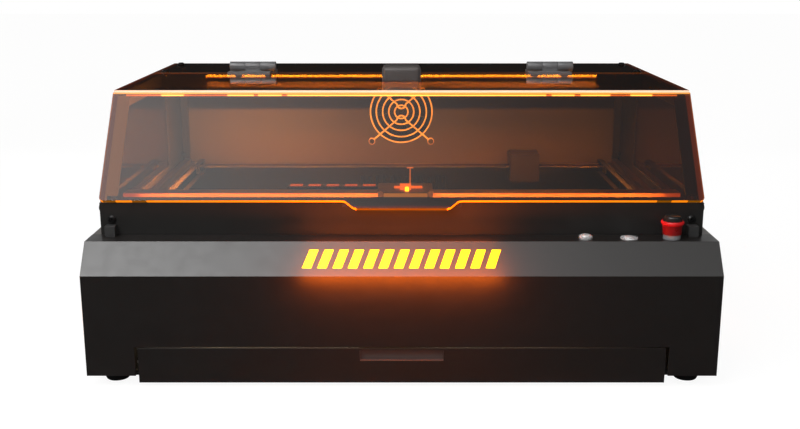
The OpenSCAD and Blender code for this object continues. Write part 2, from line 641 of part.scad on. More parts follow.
module x_belt() color([0.06, 0.06, 0.06])
    translate([(x_motor_x + x_idler_x) / 2, x_axis_y, (x_belt_z[0] + x_belt_z[1]) / 2])
        belt_loop((x_idler_x - x_motor_x) / 2, x_pulley_r + 0.2, belt_t - 0.3, x_belt_z[1] - x_belt_z[0]);

module carriage_plate() color(steel_grey) {
    plate([head_x[0] - 6, head_x[1] + 6], [head_y[1] + eps, beam_y - eps], [150, 186.2]);
    plate([head_x[0] - 6, head_x[1] + 6], [head_y[1] + eps, x_axis_y - 10], [beam_z[1] + 0.4, 186.2]);
    plate([head_x[0] - 6, head_x[1] + 6], [beam_y + beam_d + 0.4, beam_y + beam_d + 12], [174, 186]);
    plate([-6, 14], [x_axis_y - 12, x_axis_y - 8], [x_belt_z[0], 186]);
}
link_pitch = 20.3;
link_count = 5;
module cable_chain() color([0.07, 0.07, 0.07]) for (i = [1 : link_count])
    translate([head_x[0] - 6 - i * link_pitch, beam_y + beam_d + 4, 174.2]) {
        cube([link_pitch, 12, 9.5]);
        translate([3, 0, 0]) cube([link_pitch - 6, 12, 10.3]);
    }
module laser_head() color([0.12, 0.12, 0.12]) difference() {
    plate(head_x, head_y, [head_z, head_top]);
    for (s = [-1, 1], i = [0 : 6]) translate([(head_x[0] + head_x[1]) / 2 + s * head_w / 2, 0, 0])
        plate([-4, 4], [head_y[0] + 3 + i * 4.4, head_y[0] + 5 + i * 4.4], [head_z + 6, head_top - 6]);
}
module laser_nozzle() color([0.7, 0.55, 0.2])
    translate([(head_x[0] + head_x[1]) / 2, (head_y[0] + head_y[1]) / 2, nozzle_z]) difference() {
        cylinder(r1 = 5, r2 = 13, h = head_z - nozzle_z);
        translate([0, 0, -1]) cylinder(r = 3, h = 6);
    }

// Electrics -----------------------------------------------------------------------------------------------

module power_supply() color("silver") difference() {
    plate([-230, -70], [110, 235], [floor_z + sheet, 62]);
    for (i = [0 : 11]) plate([-220 + i * 12, -214 + i * 12], [125, 220], [61, 70]);
}
module controller_board() {
    color([0.05, 0.3, 0.12]) plate([60, 190], [140, 244], [24, 25.6]);
    color("silver") for (x = usb_x) plate([x - 6, x + 6], [232, panel_rear_y + sheet], [25.6, 40]);
    color("gray") for (x = [66, 184], y = [146, 222]) translate([x, y, floor_z + sheet])
        cylinder(r = 2.5, h = 24 - floor_z - sheet);
    color([0.1, 0.1, 0.1]) for (i = [0 : 2]) plate([72 + i * 30, 92 + i * 30], [160, 180], [25.6, 34]);
}
module power_inlet() color([0.06, 0.06, 0.06]) translate([inlet_x, panel_rear_y, inlet_z]) {
    difference() {
        union() {
            plate([-25, 25], [sheet, sheet + 2], [-15, 15]);
            plate([-22, 22], [-22, sheet], [-12, 12]);
        }
        plate([-20, 3], [-16, 10], [-8, 8]);
        plate([6.5, 19.5], [-12, 10], [-9.6, 9.6]);
        translate([0, -2, 0]) rod_x(1.3, [5.4, 20.6]);
    }
    for (p = [[-14, -2], [-3, -2], [-8.5, 3]]) plate([p[0] - 1, p[0] + 1], [-16, -1], [p[1] - 2, p[1] + 2]);
}
module power_rocker() color([0.7, 0.1, 0.05]) translate([inlet_x, panel_rear_y - 2, inlet_z]) {
    yz_prism([7, 19], [[-4, -7.6], [5.2, -8.4], [4.4, 0], [6.6, 8.1], [-3, 7.8]]);
    rod_x(1.2, [5.8, 20.2]);
}

// Drawer --------------------------------------------------------------------------------------------------

module drawer_front() color(steel_dark) difference() {
    union() {
        plate([-drawer_half, drawer_half], [front_y, front_y + sheet], [drawer_bottom, drawer_top]);
        yz_prism([-pull_half - 2, pull_half + 2], [[front_y, pull_z[0] - 1.5], [front_y + 6.6, pull_z[0] - 1.5],
            [front_y + 9, pull_z[1] - 1.5], [front_y + 9, drawer_top - 0.2], [front_y, drawer_top - 0.2]]);
    }
    yz_prism([-pull_half, pull_half], [[front_y - 1, pull_z[0]], [front_y + 4.6, pull_z[0]],
        [front_y + 7, pull_z[1]], [front_y - 1, pull_z[1]]]);
}
module drawer_tray() color(steel_grey) difference() {
    plate([-tray_x, tray_x], [front_y + sheet, front_y + sheet + tray_d], tray_z);
    plate([-tray_x + tray_wall, tray_x - tray_wall], [front_y + 16.4, front_y + sheet + tray_d - tray_wall],
        [tray_z[0] + tray_wall, 60]);
    plate([-pull_half - 2, pull_half + 2], [front_y, front_y + 9], [28, 60]);
    pair() plate([pull_half + 4, tray_x - tray_wall], [front_y + 4, front_y + 20], [tray_z[0] + tray_wall, 60]);
}

floor_plate();
front_fascia();
deck_plate();
left_side_panel();
right_side_panel();
rear_panel();
feet();
case_screws();
rim_front();
side_frames();
rear_wall();
side_windows();
rear_top_panel();
hinge_rail();
led_strip();
hinge_leaves_fixed();
hinge_pins();
fan_frame();
fan_guard();
fan_screws();
exhaust_spigot();
bed_frame();
bed_blades();
y_rails();
y_motor();
y_belts();
power_supply();
controller_board();
power_inlet();
estop_collar();
button_bezels();
corner_brackets();
light_sign();
drawer_runners();
lid_front_panel();
lid_top_panel();
lid_hinge_leaves();
lid_hinge_screws();
camera_pod();
camera_lens();
drawer_front();
drawer_tray();
x_beam();
gantry_trucks();
x_motor();
x_belt();
x_drive_pulley();
x_idler_pulley();
carriage_plate();
cable_chain();
laser_head();
laser_nozzle();
estop_plunger();
estop_head();
start_button();
mode_button();
power_rocker();
fan_rotor();
y_shaft();
belt_idlers();
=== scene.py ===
"""Looks of the desktop laser cutter: amber acrylic hood, charcoal powder coat, lit sign, studio light."""

import json
import math

import bmesh
import bpy
from mathutils import Matrix, Vector


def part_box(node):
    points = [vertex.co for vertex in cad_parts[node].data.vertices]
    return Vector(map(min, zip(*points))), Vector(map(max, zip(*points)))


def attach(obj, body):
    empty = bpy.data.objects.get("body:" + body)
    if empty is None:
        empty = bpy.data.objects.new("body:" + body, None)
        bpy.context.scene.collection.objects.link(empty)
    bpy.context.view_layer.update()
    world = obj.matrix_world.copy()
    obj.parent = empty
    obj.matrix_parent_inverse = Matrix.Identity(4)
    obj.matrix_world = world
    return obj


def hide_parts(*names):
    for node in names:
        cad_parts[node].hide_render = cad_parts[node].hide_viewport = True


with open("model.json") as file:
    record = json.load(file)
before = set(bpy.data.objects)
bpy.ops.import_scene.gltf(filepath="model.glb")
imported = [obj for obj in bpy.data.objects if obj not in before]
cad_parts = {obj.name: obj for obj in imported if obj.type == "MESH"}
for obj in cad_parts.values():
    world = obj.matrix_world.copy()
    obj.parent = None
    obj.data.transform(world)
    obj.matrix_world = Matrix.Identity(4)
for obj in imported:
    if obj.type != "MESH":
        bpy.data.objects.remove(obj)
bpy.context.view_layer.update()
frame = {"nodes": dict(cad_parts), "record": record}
nodes = frame["nodes"]
MM = 0.001


# Camera and light ----------------------------------------------------------------------------------------

def make_camera():
    """The photograph's view: level with the deck's front, from a little above."""
    data = bpy.data.cameras.new("camera")
    data.lens = 47.1
    data.sensor_width = 36
    data.clip_start = 0.02
    camera = bpy.data.objects.new("camera", data)
    camera.location = (-0.0018, -1.2665, 0.4267)
    camera.rotation_euler = (math.radians(76.5), 0, 0)
    bpy.context.scene.collection.objects.link(camera)
    bpy.context.scene.camera = camera


WARM_WHITE = (1, 0.985, 0.97, 1)
FILL_LEFT, FILL_RIGHT = 0.62, 0.24
SOFTBOX_LEFT, SOFTBOX_RIGHT = 3.35, 0.42


def map_range(tree, source, inputs, outputs, smooth=False):
    """A node that takes a value from one range to another."""
    node = tree.nodes.new("ShaderNodeMapRange")
    if smooth:
        node.interpolation_type = "SMOOTHSTEP"
    for key, value in zip(("From Min", "From Max", "To Min", "To Max"), (*inputs, *outputs)):
        node.inputs[key].default_value = value
    tree.links.new(source, node.inputs["Value"])
    return node.outputs[0]


def axes(tree, output):
    """The X, Y and Z of a texture coordinate."""
    where = tree.nodes.new("ShaderNodeTexCoord")
    split = tree.nodes.new("ShaderNodeSeparateXYZ")
    tree.links.new(where.outputs[output], split.inputs[0])
    return split.outputs


def make_world():
    """White behind the object, soft light on it that weakens to the right, and nearly nothing for mirrors."""
    world = bpy.data.worlds.new("studio")
    world.use_nodes = True
    tree = world.node_tree
    tree.nodes.clear()
    path = tree.nodes.new("ShaderNodeLightPath")
    out = tree.nodes.new("ShaderNodeOutputWorld")
    side = map_range(tree, axes(tree, "Generated")["X"], (-0.8, 0.8), (FILL_LEFT, FILL_RIGHT))
    shades = {}
    for name, strength in (("fill", FILL_LEFT), ("mirror", 0.015), ("through", 0.02), ("camera", 1.0)):
        shades[name] = tree.nodes.new("ShaderNodeBackground")
        shades[name].inputs["Color"].default_value = WARM_WHITE if name == "fill" else (1, 1, 1, 1)
        shades[name].inputs["Strength"].default_value = strength
    tree.links.new(side, shades["fill"].inputs["Strength"])
    shade = shades["fill"].outputs[0]
    for name, ray in (("mirror", "Glossy"), ("through", "Transmission"), ("camera", "Camera")):
        mix = tree.nodes.new("ShaderNodeMixShader")
        tree.links.new(path.outputs[f"Is {ray} Ray"], mix.inputs["Fac"])
        tree.links.new(shade, mix.inputs[1])
        tree.links.new(shades[name].outputs[0], mix.inputs[2])
        shade = mix.outputs[0]
    tree.links.new(shade, out.inputs["Surface"])
    bpy.context.scene.world = world
    bpy.context.scene.view_settings.view_transform = "Standard"


def plane(name, size, place, tilt, mat):
    """A flat studio card, which isn't part of the object."""
    mesh = bpy.data.meshes.new(name)
    w, d = size[0] / 2, size[1] / 2
    mesh.from_pydata([(-w, -d, 0), (w, -d, 0), (w, d, 0), (-w, d, 0)], [], [(0, 1, 2, 3)])
    mesh.materials.append(mat)
    card = bpy.data.objects.new(name, mesh)
    card.location = place
    card.rotation_euler = tilt
    bpy.context.scene.collection.objects.link(card)
    return card


def make_floor():
    """A white sweep: nearly self-lit to the camera, so only the darkest contact shadow shows on it."""
    mat, shader, tree = new_material("floor")
    shader.inputs["Roughness"].default_value = 0.9
    shader.inputs["Specular IOR Level"].default_value = 0.0
    shader.inputs["Emission Color"].default_value = (1, 1, 1, 1)
    path = tree.nodes.new("ShaderNodeLightPath")
    for socket, seen, unseen in (("Emission Strength", 0.93, 0.0), ("Base Color", 0.12, 0.5)):
        pick = map_range(tree, path.outputs["Is Camera Ray"], (0, 1), (unseen, seen))
        tree.links.new(pick, shader.inputs[socket])
    floor = plane("floor", (14, 14), (0, 1.0, 0), (0, 0, 0), mat)
    floor.visible_glossy = False
    floor.visible_transmission = False


def emitter(name):
    """A material that only gives light."""
    mat = bpy.data.materials.new(name)
    mat.use_nodes = True
    tree = mat.node_tree
    tree.nodes.clear()
    glow = tree.nodes.new("ShaderNodeEmission")
    tree.links.new(glow.outputs[0], tree.nodes.new("ShaderNodeOutputMaterial").inputs["Surface"])
    return mat, glow, tree


def make_cards():
    """An overhead softbox that fades from left to right, and a card on each side that only mirrors see."""
    mat, glow, tree = emitter("softbox")
    across, along = axes(tree, "Object")[:2]
    fade = map_range(tree, across, (-1.1, 0.6), (SOFTBOX_LEFT, SOFTBOX_RIGHT), smooth=True)
    near = map_range(tree, along, (0.1, -0.15), (1.0, 2.2))
    product = tree.nodes.new("ShaderNodeMath")
    product.operation = "MULTIPLY"
    tree.links.new(fade, product.inputs[0])
    tree.links.new(near, product.inputs[1])
    tree.links.new(product.outputs[0], glow.inputs["Strength"])
    card = plane("softbox", (3.4, 1.5), (0, -1.2, 1.75), (math.radians(14), 0, 0), mat)
    card.visible_camera = False
    card.visible_transmission = False
    pale, shine, _ = emitter("side_card")
    shine.inputs["Strength"].default_value = 0.75
    for side in (-1, 1):
        place = (side * 0.92, 1.0, 0.45)
        card = plane(f"side_card_{side}", (0.5, 0.7), place, (math.radians(90), 0, 0), pale)
        card.visible_camera = card.visible_diffuse = card.visible_transmission = False


def lamp(name, kind, place, power, size, colour=(1, 1, 1), aim=None, spread=180):
    """A light that nothing shows: an area lamp whose size is a pair, or a point lamp with a radius."""
    data = bpy.data.lights.new(name, kind)
    data.energy = power
    data.color = colour
    if kind == "AREA":
        data.shape = "RECTANGLE"
        data.size, data.size_y = size
        data.spread = math.radians(spread)
    else:
        data.shadow_soft_size = size
    light = bpy.data.objects.new(name, data)
    light.location = place
    if aim:
        ahead = Vector(aim) - Vector(place)
        light.rotation_euler = ahead.to_track_quat("-Z", "Y").to_euler()
    light.visible_camera = False
    light.visible_glossy = False
    light.visible_transmission = False
    bpy.context.scene.collection.objects.link(light)
    return light


# Materials -----------------------------------------------------------------------------------------------

def new_material(name):
    """A material with its Principled shader and its node tree."""
    mat = bpy.data.materials.new(name)
    mat.use_nodes = True
    shader = mat.node_tree.nodes["Principled BSDF"]
    return mat, shader, mat.node_tree


def noise(tree, scale, detail=4.0, stretch=(1, 1, 1)):
    """Noise in the object's own coordinates, with scale in features a metre."""
    where = tree.nodes.new("ShaderNodeTexCoord")
    spread = tree.nodes.new("ShaderNodeMapping")
    spread.inputs["Scale"].default_value = stretch
    grain = tree.nodes.new("ShaderNodeTexNoise")
    grain.inputs["Scale"].default_value = scale
    grain.inputs["Detail"].default_value = detail
    tree.links.new(where.outputs["Object"], spread.inputs["Vector"])
    tree.links.new(spread.outputs[0], grain.inputs["Vector"])
    return grain.outputs["Fac"]


def mixed(tree, factor, first, second):
    """Two colours mixed by a factor. Either colour may be another node's output."""
    mix = tree.nodes.new("ShaderNodeMix")
    mix.data_type = "RGBA"
    tree.links.new(factor, mix.inputs["Factor"])
    for socket, colour in (("A", first), ("B", second)):
        if isinstance(colour, tuple):
            mix.inputs[socket].default_value = colour + (1,)
        else:
            tree.links.new(colour, mix.inputs[socket])
    return mix.outputs["Result"]


def add_relief(tree, shader, height, strength, distance):
    """A fine bump on the shader's normal."""
    bump = tree.nodes.new("ShaderNodeBump")
    bump.inputs["Strength"].default_value = strength
    bump.inputs["Distance"].default_value = distance
    tree.links.new(height, bump.inputs["Height"])
    tree.links.new(bump.outputs[0], shader.inputs["Normal"])


def surface(name, colour, rough, metal=0.0, grain=900, depth=0.02, vary=0.12, stretch=(1, 1, 1), coat=0.0,
            specular=0.5, rough_vary=0.08, ior=1.5):
    """A Principled finish with mottled colour and roughness, and a fine relief."""
    mat, shader, tree = new_material(name)
    shader.inputs["Metallic"].default_value = metal
    shader.inputs["Specular IOR Level"].default_value = specular
    shader.inputs["IOR"].default_value = ior
    shader.inputs["Coat Weight"].default_value = coat
    mottle = noise(tree, grain / 12, 5.0, stretch)
    dark = tuple(c * (1 - vary) for c in colour)
    light = tuple(min(1, c * (1 + vary)) for c in colour)
    tree.links.new(mixed(tree, mottle, dark, light), shader.inputs["Base Color"])
    spread = map_range(tree, mottle, (0, 1), (max(0.02, rough - rough_vary), min(1, rough + rough_vary)))
    tree.links.new(spread, shader.inputs["Roughness"])
    add_relief(tree, shader, noise(tree, grain, 3.0, stretch), 0.6, depth * MM)
    return mat


def glowing(name, colour, strength, base=(0.8, 0.4, 0.05), rough=0.25, vary=0.12):
    """A lit material whose brightness wanders a little along its length."""
    mat, shader, tree = new_material(name)
    shader.inputs["Base Color"].default_value = base + (1,)
    shader.inputs["Roughness"].default_value = rough
    dim = tuple(c * (1 - vary) for c in colour)
    tree.links.new(mixed(tree, noise(tree, 60, 2.0), dim, colour), shader.inputs["Emission Color"])
    shader.inputs["Emission Strength"].default_value = strength
    return mat


def acrylic(name, tint, rough=0.003):
    """Clear coloured sheet: it bends and tints what is seen through it, and lets lamps shine through."""
    mat, shader, tree = new_material(name)
    shader.inputs["Base Color"].default_value = tint + (1,)
    shader.inputs["Transmission Weight"].default_value = 1.0
    shader.inputs["IOR"].default_value = 1.49
    smear = map_range(tree, noise(tree, 14, 4.0), (0, 1), (0, 2 * rough))
    tree.links.new(smear, shader.inputs["Roughness"])
    path = tree.nodes.new("ShaderNodeLightPath")
    clear = tree.nodes.new("ShaderNodeBsdfTransparent")
    clear.inputs["Color"].default_value = tuple(math.sqrt(c) for c in tint) + (1,)
    mix = tree.nodes.new("ShaderNodeMixShader")
    out = tree.nodes["Material Output"]
    tree.links.new(path.outputs["Is Shadow Ray"], mix.inputs["Fac"])
    tree.links.new(shader.outputs[0], mix.inputs[1])
    tree.links.new(clear.outputs[0], mix.inputs[2])
    tree.links.new(mix.outputs[0], out.inputs["Surface"])
    return mat


AMBER = (0.80, 0.27, 0.035)
CHARCOAL = (0.013, 0.0115, 0.0108)
COAT_IOR = 1.75
MATS = {
    "powder_coat": surface("powder_coat", CHARCOAL, 0.36, grain=1100, depth=0.03, vary=0.2, ior=COAT_IOR),
    "dark_frame": surface("dark_frame", (0.016, 0.015, 0.014), 0.5, grain=1100, depth=0.035, vary=0.2),
    "rubber_foot": surface("rubber_foot", (0.012, 0.012, 0.012), 0.7, grain=700, depth=0.03),
    "black_screw": surface("black_screw", (0.02, 0.02, 0.02), 0.32, metal=0.6, grain=2000, depth=0.01),
    "amber_acrylic": acrylic("amber_acrylic", AMBER),
    "led_light": glowing("led_light", (1.0, 0.8, 0.2), 10.0, base=(0.9, 0.6, 0.2)),
    "hinge_metal": surface("hinge_metal", (0.2, 0.2, 0.205), 0.45, metal=0.3, grain=1500, depth=0.012),
    "bare_steel": surface("bare_steel", (0.55, 0.55, 0.56), 0.25, metal=1.0, grain=900, depth=0.008,
                          stretch=(0.05, 1, 1)),
    "black_plastic": surface("black_plastic", (0.014, 0.014, 0.014), 0.45, grain=1600, depth=0.02),
    # The fan guard's wires glow with painted light.
    "guard_wire": glowing("guard_wire", (1.0, 0.85, 0.5), 0.75, base=(0.6, 0.5, 0.4), rough=0.35),
    "bed_aluminium": surface("bed_aluminium", (0.42, 0.42, 0.43), 0.45, metal=0.45, grain=600, depth=0.015),
    "rail_aluminium": surface("rail_aluminium", (0.5, 0.5, 0.51), 0.33, metal=1.0, grain=700, depth=0.01,
                              stretch=(0.05, 1, 1)),
    "motor_black": surface("motor_black", (0.02, 0.02, 0.021), 0.4, metal=0.2, grain=900, depth=0.02),
    "belt_rubber": surface("belt_rubber", (0.012, 0.012, 0.012), 0.65, grain=900, depth=0.05),
    "supply_case": surface("supply_case", (0.5, 0.5, 0.5), 0.4, metal=1.0, grain=500, depth=0.02),
    "circuit_board": surface("circuit_board", (0.012, 0.09, 0.035), 0.3, grain=800, depth=0.02, vary=0.3),
    "grey_plastic": surface("grey_plastic", (0.26, 0.26, 0.27), 0.34, grain=1600, depth=0.02),
    "button_chrome": surface("button_chrome", (0.95, 0.95, 0.96), 0.24, metal=0.5, grain=900, depth=0.004,
                             rough_vary=0.04),
    "sign_light": glowing("sign_light", (1.0, 0.92, 0.0), 1.1, base=(0.8, 0.6, 0.0), vary=0.04),
    "pod_plastic": surface("pod_plastic", (0.1, 0.088, 0.085), 0.42, grain=1500, depth=0.03, vary=0.2),
    "lens_glass": surface("lens_glass", (0.01, 0.01, 0.014), 0.06, grain=300, depth=0.002, coat=1.0),
    "drawer_steel": surface("drawer_steel", (0.03, 0.029, 0.028), 0.45, grain=1000, depth=0.03),
    "black_anodised": surface("black_anodised", (0.03, 0.03, 0.031), 0.36, metal=0.5, grain=1300, depth=0.01),
    "head_metal": surface("head_metal", (0.09, 0.085, 0.08), 0.38, metal=0.7, grain=1300, depth=0.012),
    "brass_nozzle": surface("brass_nozzle", (0.72, 0.5, 0.16), 0.28, metal=1.0, grain=900, depth=0.006),
    "stop_red": surface("stop_red", (0.2, 0.003, 0.004), 0.3, grain=1300, depth=0.01, coat=0.3, vary=0.08),
    "rocker_plastic": surface("rocker_plastic", (0.02, 0.02, 0.02), 0.25, grain=1300, depth=0.01),
}
BRACKET = surface("bracket_steel", (0.06, 0.06, 0.06), 0.45, metal=0.3, grain=1500, depth=0.012)
# The stop's rim: a lighter red as a painted highlight.
RIM_RED_PAINTED_HIGHLIGHT = surface("rim_red_painted_highlight", (0.62, 0.012, 0.014), 0.22, grain=1300, depth=0.008, coat=0.4, vary=0.06)
# Painted light on the left frame's flange.
FRAME_PAINTED_LIGHT = glowing("frame_painted_light", (1.0, 0.85, 0.5), 0.17, base=(0.1, 0.09, 0.08), rough=0.45)
# Faint painted light inside the drawer's finger pull.
PULL_PAINTED_LIGHT = glowing("drawer_pull_painted_light", (1.0, 0.36, 0.28), 0.02, base=(0.05, 0.04, 0.036), rough=0.45)
# Painted light on the beam's front face.
BEAM_FACE_PAINTED_LIGHT = glowing("beam_face_painted_light", (1.0, 0.26, 0.02), 0.45, base=(0.4, 0.3, 0.25), vary=0.25)
# Painted light on the head's front plate.
HEAD_FACE_PAINTED_LIGHT = glowing("head_face_painted_light", (1.0, 0.88, 0.4), 0.42, base=(0.3, 0.25, 0.2), vary=0.15)
# Painted light on the cable chain's top.
CHAIN_TOP_PAINTED_LIGHT = glowing("chain_top_painted_light", (1.0, 0.3, 0.04), 0.5, base=(0.1, 0.06, 0.03), vary=0.3)
# Painted glow on the hood's cut edges, standing in for the strip's light carried through the sheet; the pale
# one is a painted highlight.
EDGE_PAINTED_GLOW = glowing("acrylic_edge_painted_glow", (1.0, 0.24, 0.0), 0.95, base=(0.9, 0.3, 0.02))
EDGE_PAINTED_GLOW_DIM = glowing("acrylic_edge_painted_glow_dim", (0.26, 0.08, 0.0), 0.9, base=(0.04, 0.012, 0.0))
EDGE_PAINTED_GLOW_DARK = glowing("acrylic_edge_painted_glow_dark", (0.13, 0.045, 0.02), 0.7, base=(0.05, 0.015, 0.0))
EDGE_PAINTED_GLOW_TOP = glowing("acrylic_edge_painted_glow_top", (1.0, 0.80, 0.40), 0.95, base=(0.9, 0.7, 0.3))
EDGE_PAINTED_GLOW_PALE = glowing("acrylic_edge_painted_glow_pale", (0.34, 0.24, 0.2), 0.8, base=(0.8, 0.6, 0.5), rough=0.1)


# Mesh helpers --------------------------------------------------------------------------------------------

def piece(name, bm, mats, body, replaced=(), bevel=0.0, smooth=40):
    """A finished piece from a bmesh: materials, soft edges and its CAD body."""
    bmesh.ops.recalc_face_normals(bm, faces=bm.faces)
    mesh = bpy.data.meshes.new(name)
    bm.to_mesh(mesh)
    bm.free()
    for mat in mats:
        mesh.materials.append(mat)
    obj = bpy.data.objects.new(name, mesh)
    bpy.context.scene.collection.objects.link(obj)
    for face in mesh.polygons:
        face.use_smooth = True
    mesh.set_sharp_from_angle(angle=math.radians(smooth))
    if bevel:
        soften(obj, bevel)
    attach(obj, body)
    if replaced:
        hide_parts(*replaced)
    return obj


def soften(obj, width):
    """Rounds the hard edges, as bending, moulding or deburring leaves them."""
    bevel = obj.modifiers.new("soft_edges", "BEVEL")
    bevel.width = width
    bevel.segments = 2
    bevel.limit_method = "ANGLE"
    bevel.angle_limit = math.radians(35)
    bevel.harden_normals = True


def add_prism(bm, outline, low, high, place=Matrix.Identity(4), side_mat=lambda i: 0, cap_mat=0):
    """An outline in the XY plane raised from low to high, with a material for each side face."""
    bottom = [bm.verts.new(place @ Vector((x, y, low))) for x, y in outline]
    top = [bm.verts.new(place @ Vector((x, y, high))) for x, y in outline]
    for cap in (bottom, top):
        bm.faces.new(cap).material_index = cap_mat
    count = len(outline)
    for i in range(count):
        j = (i + 1) % count
        bm.faces.new((bottom[i], bottom[j], top[j], top[i])).material_index = side_mat(i)


def add_box(bm, low, high, place=Matrix.Identity(4), mat=0):
    """A box between two corners."""
    x, y = (low[0], high[0]), (low[1], high[1])
    add_prism(bm, [(x[0], y[0]), (x[1], y[0]), (x[1], y[1]), (x[0], y[1])], low[2], high[2], place,
              lambda i: mat, mat)


def add_lathe(bm, profile, place=Matrix.Identity(4), steps=64, mat=0, wave=None):
    """A profile of (radius, height) turned about Z. wave(angle, radius, height) may scale the radius."""
    rings = []
    for r, z in profile:
        if r < 1e-7:
            rings.append([bm.verts.new(place @ Vector((0, 0, z)))])
            continue
        ring = []
        for k in range(steps):
            a = 2 * math.pi * k / steps
            grown = r * (wave(a, r, z) if wave else 1.0)
            ring.append(bm.verts.new(place @ Vector((grown * math.cos(a), grown * math.sin(a), z))))
        rings.append(ring)
    for lower, upper in zip(rings, rings[1:]):
        for k in range(steps):
            n = (k + 1) % steps
            corners = [lower[k % len(lower)], lower[n % len(lower)]]
            corners += [upper[n % len(upper)], upper[k % len(upper)]]
            unique = list(dict.fromkeys(corners))
            if len(unique) > 2:
                bm.faces.new(unique).material_index = mat


def centre_of(node):
    """The middle of a CAD node's box, in X and Y."""
    low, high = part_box(node)
    return (low.x + high.x) / 2, (low.y + high.y) / 2


def arc(cx, cy, r, start, end, steps):
    """Points along an arc, angles in degrees."""
    return [(cx + r * math.cos(math.radians(start + (end - start) * k / steps)),
             cy + r * math.sin(math.radians(start + (end - start) * k / steps))) for k in range(steps + 1)]


# CAD nodes that keep their shape -------------------------------------------------------------------------

# The radius in millimetres of each node's rounded edges.
SOFT = {"front_fascia": 0.7, "deck_plate": 0.7, "left_side_panel": 0.7, "right_side_panel": 0.7,
        "rear_panel": 0.3, "rim_front": 0.4, "side_frames": 0.3, "corner_brackets": 0.4, "feet": 0.8,
        "drawer_front": 0.5, "drawer_tray": 0.3, "hinge_leaves_fixed": 0.3, "lid_hinge_leaves": 0.3,
        "exhaust_spigot": 0.4, "fan_frame": 0.5, "x_beam": 0.3, "gantry_trucks": 0.4, "carriage_plate": 0.5,
        "x_motor": 1.0, "y_motor": 1.0, "power_inlet": 0.4, "power_rocker": 0.4, "case_screws": 0.15,
        "lid_hinge_screws": 0.15, "estop_collar": 0.3, "button_bezels": 0.25, "cable_chain": 0.5,
        "power_supply": 0.4, "bed_frame": 0.6, "y_rails": 0.3, "fan_screws": 0.15, "hinge_rail": 0.3}
PULL_HALF = 44 * MM
PULL_LOW, PULL_HIGH = 29 * MM, 41 * MM
PULL_DEPTH = 6.7 * MM


def mesh_edge(mesh, axis, high):
    """The mesh's extent along an axis: its far side if high is true, else its near side."""
    values = [v.co[axis] for v in mesh.vertices]
    return max(values) if high else min(values)


def graded(name, axis, start, end, first, second, rough, specular):
    """Matt paint whose mottled colour passes from first to second between two places along an axis."""
    mat, shader, tree = new_material(name)
    shader.inputs["Roughness"].default_value = rough
    shader.inputs["IOR"].default_value = COAT_IOR
    shader.inputs["Specular IOR Level"].default_value = specular
    place = map_range(tree, axes(tree, "Object")[axis], (start, end), (0, 1), smooth=True)
    mottle = mixed(tree, noise(tree, 40, 4.0), tuple(c * 0.88 for c in first), tuple(c * 1.08 for c in first))
    tree.links.new(mixed(tree, place, mottle, second), shader.inputs["Base Color"])
    add_relief(tree, shader, noise(tree, 1100, 3.0), 0.5, 0.02 * MM)
    return mat


def paint_faces(mesh, mat, chosen):
    """Gives a mesh a second material, on the faces that chosen picks."""
    mesh.materials.append(mat)
    for face in mesh.polygons:
        face.material_index = int(chosen(face))


def dress_rear_wall(mesh):
    """Matt paint with a painted shade band at its top, and plain frame paint on what faces the rear."""
    mesh.materials[0] = graded("wall_paint_with_painted_shade", "Z", 0.2235, 0.2305, (0.063, 0.059, 0.055),
                               (0.004, 0.003, 0.003), 0.6, 0.2)
    paint_faces(mesh, MATS["dark_frame"], lambda face: face.normal.y > 0.5)


def dress_deck(mesh):
    """The deck's paint turns lighter under the hood: painted light standing in for the strip's light."""
    mesh.materials[0] = graded("deck_paint_with_painted_light", "Y", -0.206, -0.2, CHARCOAL, (0.09, 0.08, 0.07), 0.36, 0.5)


def dress_side_frames(mesh):
    """The left frame's front flange glows with painted light, standing in for the strip's light."""
    paint_faces(mesh, FRAME_PAINTED_LIGHT,
                lambda face: face.center.x < 0 and face.center.y < -0.1 and face.normal.y < -0.3)


def dress_brackets(mesh):
    mesh.materials[0] = BRACKET


def dress_drawer_front(mesh):
    """The inside of the finger pull is lifted by a faint painted light."""
    near = mesh_edge(mesh, 1, False) + 0.5 * MM

    def in_pull(face):
        deepest = max(mesh.vertices[v].co.y for v in face.vertices)
        inside = abs(face.center.x) < PULL_HALF and PULL_LOW < face.center.z < PULL_HIGH
        return inside and face.center.y > near and deepest < near + PULL_DEPTH

    paint_faces(mesh, PULL_PAINTED_LIGHT, in_pull)


def dress_beam(mesh):
    """The beam's front face glows with painted light."""
    front = mesh_edge(mesh, 1, False)
    paint_faces(mesh, BEAM_FACE_PAINTED_LIGHT, lambda face: -face.normal.y > 0.9 and abs(face.center.y - front) < 0.1 * MM)


def dress_chain(mesh):
    """The cable chain's top glows with painted light, standing in for the strip's light."""
    top = mesh_edge(mesh, 2, True)
    paint_faces(mesh, CHAIN_TOP_PAINTED_LIGHT, lambda face: face.normal.z > 0.9 and abs(face.center.z - top) < 0.1 * MM)


DRESS = {"rear_wall": dress_rear_wall, "deck_plate": dress_deck, "side_frames": dress_side_frames,
         "corner_brackets": dress_brackets, "drawer_front": dress_drawer_front, "x_beam": dress_beam,
         "cable_chain": dress_chain}


def dress_cad():
    """Every CAD node gets its slot's finish, and its hard edges a small round."""
    slots = {row["node"]: row["material_slot"] for row in frame["record"]["subparts"]}
    for name, obj in nodes.items():
        mesh = obj.data
        mesh.materials.clear()
        mesh.materials.append(MATS[slots[name]])
        if name in DRESS:
            DRESS[name](mesh)
        if name in SOFT:
            weld = obj.modifiers.new("weld", "WELD")
            weld.merge_threshold = 0.001 * MM
            if name != "drawer_front":          # dissolving would skin over the mouth of its finger pull
                flat = obj.modifiers.new("flat_faces", "DECIMATE")
                flat.decimate_type = "DISSOLVE"
                flat.angle_limit = math.radians(0.4)
            soften(obj, SOFT[name] * MM)


# Hood ----------------------------------------------------------------------------------------------------

